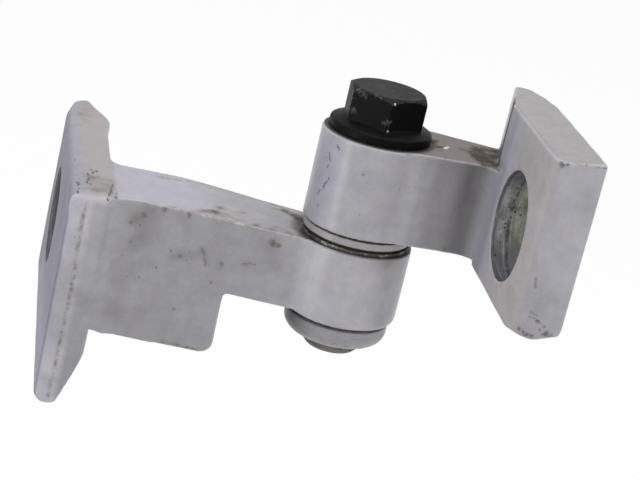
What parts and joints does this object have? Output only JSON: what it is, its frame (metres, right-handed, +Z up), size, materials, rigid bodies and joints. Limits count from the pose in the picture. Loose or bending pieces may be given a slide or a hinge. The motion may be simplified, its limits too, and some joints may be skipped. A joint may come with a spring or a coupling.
{
  "type": "car door hinge",
  "caption": "Forged car door hinge: a pillar leaf and a door leaf with stepped bolt holes turn on a bushed lift-off pin held by a hexagon flange bolt.",
  "frame": {"origin": "centre of the pillar leaf's bolt hole on its mounting face", "axes": "+X out of the pillar mounting face towards the hinge pin, +Z up along the hinge pin, +Y to the back, away from the door leaf's free end"},
  "size_m": [0.0923, 0.1165, 0.0859],
  "materials": {
    "leaf_paint": "satin grey primer coat, dirty and lightly chipped",
    "pin_paint": "satin grey primer coat, bare steel at the lower end",
    "bush_steel": "bare steel, darkened by grease",
    "bolt_black": "black phosphate, corners rubbed bright"
  },
  "bodies": {
    "pillar_side": {"pillar_leaf": "leaf_paint", "upper_bush": "bush_steel", "lower_bush": "bush_steel"},
    "door_side": {"door_leaf": "leaf_paint", "hinge_pin": "pin_paint", "end_ring": "leaf_paint", "pin_bolt": "bolt_black"}
  },
  "joints": [
    {"name": "door_swing", "type": "hinge", "parent": "pillar_side", "child": "door_side", "pos_m": [0.0594, -0.0405, 0.02], "axis": [0, 0, 1], "range_deg": [-90, 15]}
  ]
}
